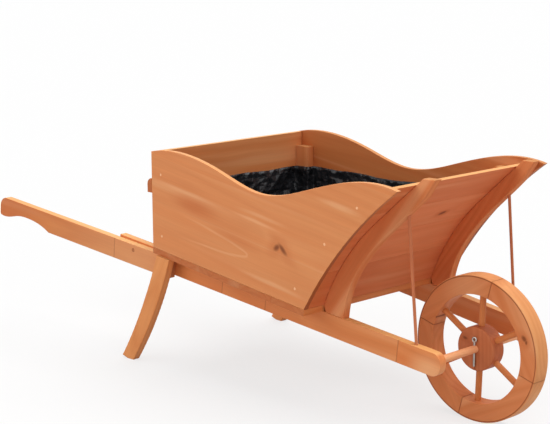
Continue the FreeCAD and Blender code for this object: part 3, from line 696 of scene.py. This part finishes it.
def steel(name, nodes, colour, roughness):
    """Dull zinc-coated steel with a faintly uneven sheen."""
    graph = Graph(name)
    cloud = graph.noise(graph.place_in_part(), STEEL_CLOUDS, STEEL_DETAIL)
    graph.shader.inputs["Base Color"].default_value = colour
    graph.shader.inputs["Metallic"].default_value = 1.0
    graph.put(graph.shader.inputs["Roughness"], graph.math("MULTIPLY_ADD", cloud, STEEL_UNEVEN, roughness))
    graph.bump(cloud, STEEL_RELIEF, STEEL_DEPTH)
    for node in nodes:
        give(node, graph.material)


steel("nail_steel", ["side_nails", "rear_nails", "front_nails", "floor_nails"],
      colour=srgb(226, 174, 132), roughness=0.48)
steel("screw_steel", ["handle_screws", "leg_screws", "rib_screws", "batten_screws"],
      colour=srgb(168, 108, 70), roughness=0.46)
steel("pin_steel", ["split_pins"], colour=srgb(184, 180, 174), roughness=0.34)


# Soft liner: a sheet of film tucked into the tub, round its cleats and up its walls

LINER_GAP = 0.0011
LINER_TOP = 0.318
LINER_FILM = 0.0006
LINER_WELD = 0.0002
# The tub that it lines
TUB_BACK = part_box("rear_panel")[1][0]
TUB_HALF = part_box("side_panel_left")[0][1]
CLEAT_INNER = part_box("rear_cleat_left")[0][1]
CLEAT_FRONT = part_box("rear_cleat_left")[1][0]
CLEAT_REACH = 0.0393
BOARD_THICKNESS = 0.009
FLOOR_RISE = 0.0297
FRONT_TOP = (AXLE_X - 0.026, 0.3795)
FRONT_LEAN = math.radians(41.5)
FRONT_RADIUS = 0.375
FRONT_STRAIGHT = 0.1038
FRONT_LONGEST = 0.6
# About where the front boards and the front cleats meet the floor
FRONT_FOOT_X = AXLE_X - 0.22
CLEAT_FOOT_X = AXLE_X - 0.25
# Its corners round the cleats, the fold at the floor, and the waves along its top edge
CORNER_ROUND = 0.008
EDGE_ROUND = 0.001
FOLD_ROUND = 0.010
TOP_WAVE = 0.006
WAVES_PER_METRE = 11.0
WAVE_START = 4.2
# Its folds: how many to a metre, their share of the depth and where their noise starts
FOLDS = ((14.0, 0.50, 3.0), (33.0, 0.32, 11.0), (75.0, 0.18, 23.0))
FOLD_SHARPNESS = 2.4
WALL_FOLD_DEPTH = 0.0042
FLOOR_FOLD_DEPTH = 0.0025
# How finely its mesh is divided
WALL_LEVELS = 22
FLOOR_LEVELS = 16
END_STEPS = 28
SIDE_STEPS = 60
CLEAT_FACE_STEPS = 3
CLEAT_EDGE_STEPS = 4
CORNER_STEPS = 5
HALVINGS = 40
SETTLE_ROUNDS = 3


def floor_height(x):
    """Top of the tub's floor at a given place along the part."""
    return WHEEL_RADIUS + FLOOR_RISE / math.cos(RAIL_PITCH) - (x - AXLE_X) * math.tan(RAIL_PITCH)


def front_place(run, back):
    """Point at a distance down the front curve from its top, set back behind the curve."""
    up = (math.sin(math.pi / 2 - FRONT_LEAN), math.cos(math.pi / 2 - FRONT_LEAN))
    ahead = (up[1], -up[0])
    straight = min(run, FRONT_STRAIGHT)
    turn = max(run - FRONT_STRAIGHT, 0.0) / FRONT_RADIUS
    fall = straight + (FRONT_RADIUS + back) * math.sin(turn)
    out = FRONT_RADIUS - (FRONT_RADIUS + back) * math.cos(turn)
    return (FRONT_TOP[0] - fall * up[0] + out * ahead[0], FRONT_TOP[1] - fall * up[1] + out * ahead[1])


def front_at(height, back):
    """How far forward the front's inside reaches at a height, by halving the run."""
    low, high = 0.0, FRONT_LONGEST
    for _ in range(HALVINGS):
        middle = (low + high) / 2
        if front_place(middle, back)[1] > height:
            low = middle
        else:
            high = middle
    return front_place((low + high) / 2, back)[0]


def corner_arc(corner, before, after, radius):
    """Points of a rounded corner between the directions towards its two neighbours."""
    corner = Vector(corner)
    to_before = (Vector(before) - corner).normalized()
    to_after = (Vector(after) - corner).normalized()
    middle = corner + (to_before + to_after) * radius
    points = []
    for index in range(CORNER_STEPS + 1):
        angle = math.pi / 2 * index / CORNER_STEPS
        points.append(middle - to_after * radius * math.cos(angle) - to_before * radius * math.sin(angle))
    return points


def straight_run(start, end, count):
    """Points between two ends, which are left out."""
    return [start.lerp(end, index / count) for index in range(1, count)]


def half_outline(front_height, cleat_height):
    """Right-hand half of the liner's outline at one level, from the back's middle to the front's."""
    back = TUB_BACK + LINER_GAP
    side = -TUB_HALF + LINER_GAP
    inner = -CLEAT_INNER + LINER_GAP
    rear = CLEAT_FRONT + LINER_GAP
    fore = front_at(cleat_height, CLEAT_REACH + LINER_GAP)
    front = front_at(front_height, BOARD_THICKNESS + LINER_GAP)
    corners = [(back, 0.0), (back, inner), (rear, inner), (rear, side), (fore, side), (fore, inner),
               (front, inner), (front, 0.0)]
    rounds = [CORNER_ROUND, EDGE_ROUND, CORNER_ROUND, CORNER_ROUND, EDGE_ROUND, CORNER_ROUND]
    to_side = [END_STEPS, CLEAT_EDGE_STEPS, CLEAT_FACE_STEPS]
    steps = to_side + [SIDE_STEPS] + to_side[::-1]
    bends = []
    for before, corner, after, radius in zip(corners, corners[1:], corners[2:], rounds):
        bends.append(corner_arc(corner, before, after, radius))
    bends.append([Vector(corners[-1])])
    points = [Vector(corners[0])]
    for bend, count in zip(bends, steps):
        points += straight_run(points[-1], bend[0], count) + bend
    return points


def liner_outline(share):
    """Liner's outline with inward directions at a share of the way from the top down to the floor."""
    front_foot = floor_height(front_at(floor_height(FRONT_FOOT_X), BOARD_THICKNESS)) + LINER_GAP
    cleat_foot = floor_height(CLEAT_FOOT_X) + LINER_GAP
    front_height = LINER_TOP + (front_foot - LINER_TOP) * share
    cleat_height = LINER_TOP + (cleat_foot - LINER_TOP) * share
    right = half_outline(front_height, cleat_height)
    left = [Vector((point[0], -point[1])) for point in reversed(right[1:-1])]
    points = right + left
    inward = []
    for index in range(len(points)):
        way = points[(index + 1) % len(points)] - points[index - 1]
        inward.append(Vector((-way[1], way[0])).normalized())
    return points, inward


def fold_share(place):
    """Depth of the film's folds: sharp ridges of several sizes, from 0 to 1."""
    total = 0.0
    for scale, share, start in FOLDS:
        bend = noise.noise(place * scale + Vector((start, start * 0.7, -start)))
        total += share * (1.0 - min(1.0, abs(bend) * FOLD_SHARPNESS))
    return total


def wall_vertex(point, way, share):
    """Place on the liner's wall that follows the front, its folds and the rounded fold at the floor."""
    wave = noise.noise(Vector((point[0] * WAVES_PER_METRE, point[1] * WAVES_PER_METRE, WAVE_START)))
    top = LINER_TOP - TOP_WAVE * (0.5 + wave)
    behind = CLEAT_REACH if abs(point[1]) > CLEAT_INNER else BOARD_THICKNESS
    along = point[0]
    for _ in range(SETTLE_ROUNDS):
        foot = floor_height(along) + LINER_GAP
        height = top + (foot - top) * share
        along = min(point[0], front_at(height, behind + LINER_GAP))
    depth = WALL_FOLD_DEPTH * fold_share(Vector((point[0], point[1], height)))
    near_floor = max(0.0, 1.0 - (height - foot) / FOLD_ROUND)
    depth += FOLD_ROUND * (1.0 - math.sqrt(max(0.0, 1.0 - near_floor ** 2)))
    place = Vector((along, point[1])) + way * depth
    return (place[0], place[1], max(height, floor_height(place[0]) + LINER_GAP))


def floor_vertex(point, rear, front, share):
    """Place on the liner's floor at a share of the way from its edge to the middle line."""
    spine = Vector((min(max(point[0], rear), max(rear, front)), 0.0, 0.0))
    place = point.lerp(spine, share)
    fold = FLOOR_FOLD_DEPTH * fold_share(Vector((place[0], place[1], 0.0)))
    return (place[0], place[1], floor_height(place[0]) + LINER_GAP + fold)


def liner_mesh():
    """Tray of film: wall levels from the wavy top edge down, then levels that close over the floor."""
    mesh = bmesh.new()
    levels = []
    for level in range(WALL_LEVELS + 1):
        share = level / WALL_LEVELS
        points, inward = liner_outline(share)
        places = [wall_vertex(point, way, share) for point, way in zip(points, inward)]
        levels.append([mesh.verts.new(place) for place in places])
    edge = [Vector(vertex.co) for vertex in levels[-1]]
    rear = min(point[0] for point in edge) + TUB_HALF
    front = max(point[0] for point in edge) - TUB_HALF
    for level in range(1, FLOOR_LEVELS + 1):
        share = level / FLOOR_LEVELS
        levels.append([mesh.verts.new(floor_vertex(point, rear, front, share)) for point in edge])
    for upper, lower in zip(levels, levels[1:]):
        for index in range(len(upper)):
            after = (index + 1) % len(upper)
            mesh.faces.new((upper[index], lower[index], lower[after], upper[after]))
    bmesh.ops.remove_doubles(mesh, verts=mesh.verts, dist=LINER_WELD)
    bmesh.ops.recalc_face_normals(mesh, faces=mesh.faces)
    data = bpy.data.meshes.new("liner_film")
    mesh.to_mesh(data)
    mesh.free()
    for polygon in data.polygons:
        polygon.use_smooth = True
    return data


# Facets of the crumpled film: how many to a metre, and their share of the relief
FILM_FACETS = ((24.0, 1.00), (60.0, 0.55), (140.0, 0.10))
FILM_RELIEF = 0.0065
FILM_GLOSS = 0.38
FILM_ROUGHNESS = 0.26
FILM_UNEVEN = 0.2
FILM_BEND = 0.02
FILM_DARK = srgb(20, 21, 24)
FILM_PALE = srgb(40, 42, 46)
CRUMPLE_SCALE = 90.0
CRUMPLE_DETAIL = 4.0
CRUMPLE_SHARE = 0.15


def facets(graph, place, scale):
    """Height of crumpled film: flat facets that meet in sharp folds."""
    cells = graph.tree.nodes.new("ShaderNodeTexVoronoi")
    cells.distance = "MANHATTAN"
    cells.inputs["Scale"].default_value = scale
    graph.put(cells.inputs["Vector"], place)
    return cells.outputs["Distance"]


def black_film():
    """Soft black film, crumpled into facets."""
    film = Graph("black_film")
    place = film.place_in_part()
    crumple = film.noise(place, CRUMPLE_SCALE, CRUMPLE_DETAIL)
    bend = film.scaled(film.node("ShaderNodeTexNoise", place).outputs["Color"], FILM_BEND)
    bent = film.vector("ADD", place, bend)
    height = film.math("MULTIPLY", crumple, CRUMPLE_SHARE)
    for scale, share in FILM_FACETS:
        height = film.math("MULTIPLY_ADD", facets(film, bent, scale), share, height)
    film.bump(height, 1.0, FILM_RELIEF)
    film.put(film.shader.inputs["Base Color"], film.blend(crumple, FILM_DARK, FILM_PALE))
    uneven = film.math("MULTIPLY_ADD", crumple, FILM_UNEVEN, FILM_ROUGHNESS)
    film.put(film.shader.inputs["Roughness"], uneven)
    film.shader.inputs["Specular IOR Level"].default_value = FILM_GLOSS
    return film.material


liner = bpy.data.objects.new("liner_film", liner_mesh())
bpy.context.collection.objects.link(liner)
film_edge = liner.modifiers.new("film", "SOLIDIFY")
film_edge.thickness = LINER_FILM
film_edge.offset = 0.0
liner.data.materials.append(black_film())

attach(liner, "barrow")
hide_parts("liner")


# Floor and light

FLOOR_SPAN = 30.0
FLOOR_SHOWN = 0.76
FLOOR_BOUNCE = 0.55
SHADOW_SHARE = 0.28
FILL = 0.35
# Each lamp: the direction that its light comes from, and its strength
LIGHTS = {
    "overhead": (Vector((0.15, 0.25, 0.95)), 0.80),
    "near_side": (Vector((-0.42, -0.82, 0.38)), 0.35),
    "ahead": (Vector((0.85, -0.50, 0.15)), 0.20),
}
LIGHT_SOFTNESS = math.radians(60.0)


def seen_directly(tree):
    """One for rays that show the backdrop itself, and zero for those that carry its light to the object."""
    path = tree.nodes.new("ShaderNodeLightPath")
    total = path.outputs["Is Camera Ray"]
    for name in ("Is Glossy Ray", "Is Transmission Ray"):
        larger = tree.nodes.new("ShaderNodeMath")
        larger.operation = "MAXIMUM"
        tree.links.new(total, larger.inputs[0])
        tree.links.new(path.outputs[name], larger.inputs[1])
        total = larger.outputs[0]
    return total


def mixed(tree, share, first, second):
    """Mix of two shaders by a number or a socket."""
    made = tree.nodes.new("ShaderNodeMixShader")
    if isinstance(share, bpy.types.NodeSocket):
        tree.links.new(share, made.inputs[0])
    else:
        made.inputs[0].default_value = share
    tree.links.new(first, made.inputs[1])
    tree.links.new(second, made.inputs[2])
    return made.outputs[0]


def plain_shader(tree, kind, colour):
    """Shader of one kind in one colour."""
    made = tree.nodes.new(kind)
    made.inputs["Color"].default_value = colour
    return made.outputs[0]


def emptied_tree(owner):
    """Shader nodes of a material or the world, with none in it yet."""
    owner.use_nodes = True
    owner.node_tree.nodes.clear()
    return owner.node_tree


def pale_floor():
    """White where it is seen, with a share of the object's shadow, and grey to the light it throws back."""
    material = bpy.data.materials.new("pale_floor")
    tree = emptied_tree(material)
    shown = mixed(tree, SHADOW_SHARE, plain_shader(tree, "ShaderNodeEmission", WHITE),
                  plain_shader(tree, "ShaderNodeBsdfDiffuse", grey(FLOOR_SHOWN)))
    bounced = plain_shader(tree, "ShaderNodeBsdfDiffuse", grey(FLOOR_BOUNCE))
    surface = tree.nodes.new("ShaderNodeOutputMaterial")
    tree.links.new(mixed(tree, seen_directly(tree), bounced, shown), surface.inputs["Surface"])
    return material


def studio():
    """World that fills the shadows, and is white where it is seen."""
    world = bpy.data.worlds.new("studio")
    tree = emptied_tree(world)
    sky = mixed(tree, seen_directly(tree), plain_shader(tree, "ShaderNodeBackground", grey(FILL)),
                plain_shader(tree, "ShaderNodeBackground", WHITE))
    output = tree.nodes.new("ShaderNodeOutputWorld")
    tree.links.new(sky, output.inputs["Surface"])
    return world


ground = bpy.data.meshes.new("ground")
corners = [(-FLOOR_SPAN, -FLOOR_SPAN, 0.0), (FLOOR_SPAN, -FLOOR_SPAN, 0.0),
           (FLOOR_SPAN, FLOOR_SPAN, 0.0), (-FLOOR_SPAN, FLOOR_SPAN, 0.0)]
ground.from_pydata(corners, [], [(0, 1, 2, 3)])
ground.materials.append(pale_floor())
floor = bpy.data.objects.new("ground", ground)
bpy.context.collection.objects.link(floor)

for name, (source, strength) in LIGHTS.items():
    lamp_data = bpy.data.lights.new(name, "SUN")
    lamp_data.energy = strength * math.pi
    lamp_data.angle = LIGHT_SOFTNESS
    lamp = bpy.data.objects.new(name, lamp_data)
    lamp.rotation_mode = "QUATERNION"
    lamp.rotation_quaternion = (-source).to_track_quat("-Z", "Y")
    bpy.context.collection.objects.link(lamp)
bpy.context.scene.world = studio()


# Camera: its place, direction and lens, worked out from the photograph's perspective

CAMERA_PLACE = Vector((1.779215, -1.696499, 0.746195))
CAMERA_AZIMUTH = 0.810071
CAMERA_ELEVATION = 0.193998
CAMERA_ROLL = -0.005
CAMERA_LENS = 94.564
CAMERA_SENSOR = 36.0
CAMERA_REACH = 100.0

sight = Vector((-math.sin(CAMERA_AZIMUTH) * math.cos(CAMERA_ELEVATION),
                math.cos(CAMERA_AZIMUTH) * math.cos(CAMERA_ELEVATION), -math.sin(CAMERA_ELEVATION)))
level_right = Vector((math.cos(CAMERA_AZIMUTH), math.sin(CAMERA_AZIMUTH), 0.0))
level_up = level_right.cross(sight)
camera_right = level_right * math.cos(CAMERA_ROLL) + level_up * math.sin(CAMERA_ROLL)
camera_up = level_up * math.cos(CAMERA_ROLL) - level_right * math.sin(CAMERA_ROLL)
camera_data = bpy.data.cameras.new("camera")
camera_data.sensor_fit = "HORIZONTAL"
camera_data.sensor_width = CAMERA_SENSOR
camera_data.lens = CAMERA_LENS
camera_data.clip_end = CAMERA_REACH
camera = bpy.data.objects.new("camera", camera_data)
bpy.context.collection.objects.link(camera)
turn = Matrix((camera_right, camera_up, -sight)).transposed().to_4x4()
camera.matrix_world = Matrix.Translation(CAMERA_PLACE) @ turn
bpy.context.scene.camera = camera
bpy.context.scene.view_settings.view_transform = "Standard"
